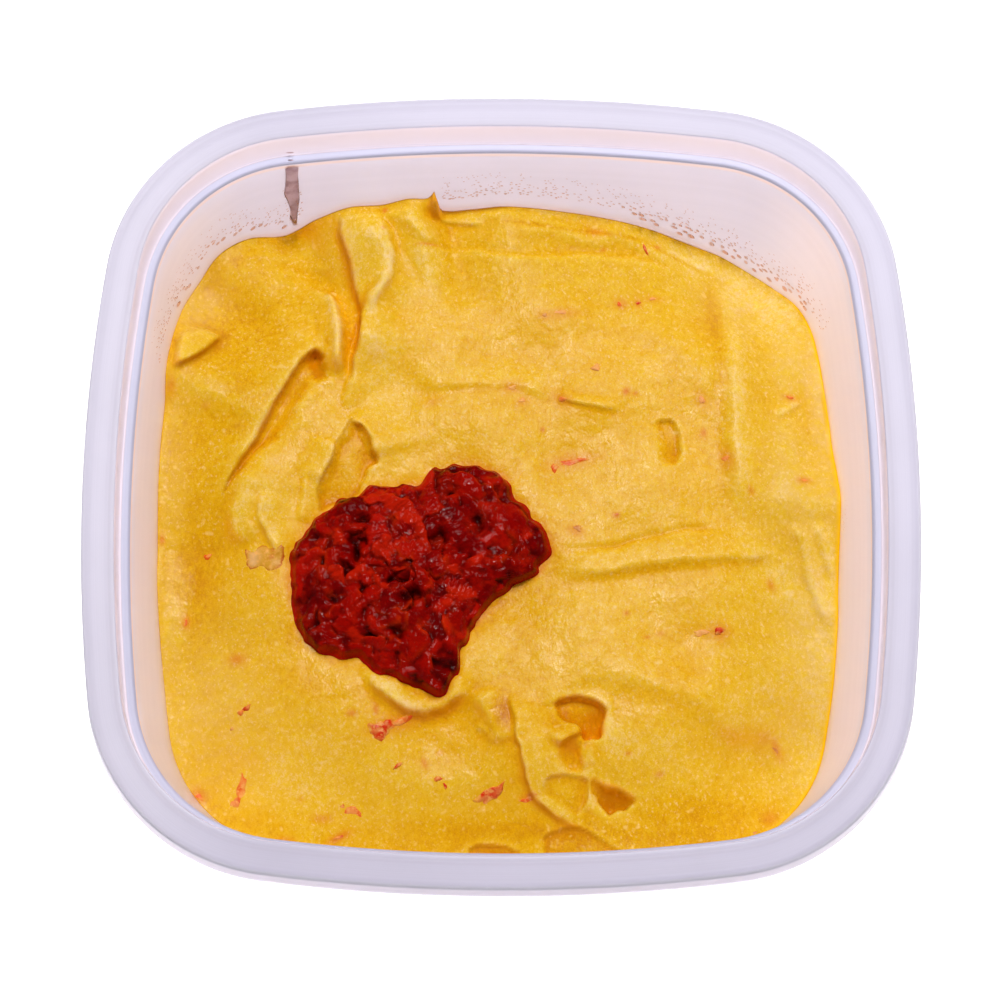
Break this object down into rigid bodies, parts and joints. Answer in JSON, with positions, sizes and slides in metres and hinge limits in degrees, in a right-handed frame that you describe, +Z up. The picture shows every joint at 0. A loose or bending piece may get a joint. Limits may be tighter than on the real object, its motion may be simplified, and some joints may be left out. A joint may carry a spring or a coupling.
{
  "type": "hummus in its tub",
  "caption": "Open rounded-square plastic tub of orange-yellow hummus with smeared folds and hollows and a spoonful of chunky red pepper relish on top",
  "frame": {"origin": "centre of the tub's base, on the surface that it stands on", "axes": "+Z up, X along one side of the tub, Y along the side next to it; the view looks towards +Y"},
  "size_m": [0.1166, 0.1166, 0.044],
  "materials": {
    "tub_plastic": "translucent milky",
    "hummus": "moist, slightly mealy",
    "relish": "wet and glossy"
  },
  "bodies": {
    "root": {"tub": "tub_plastic", "hummus": "hummus", "relish": "relish"}
  },
  "joints": []
}
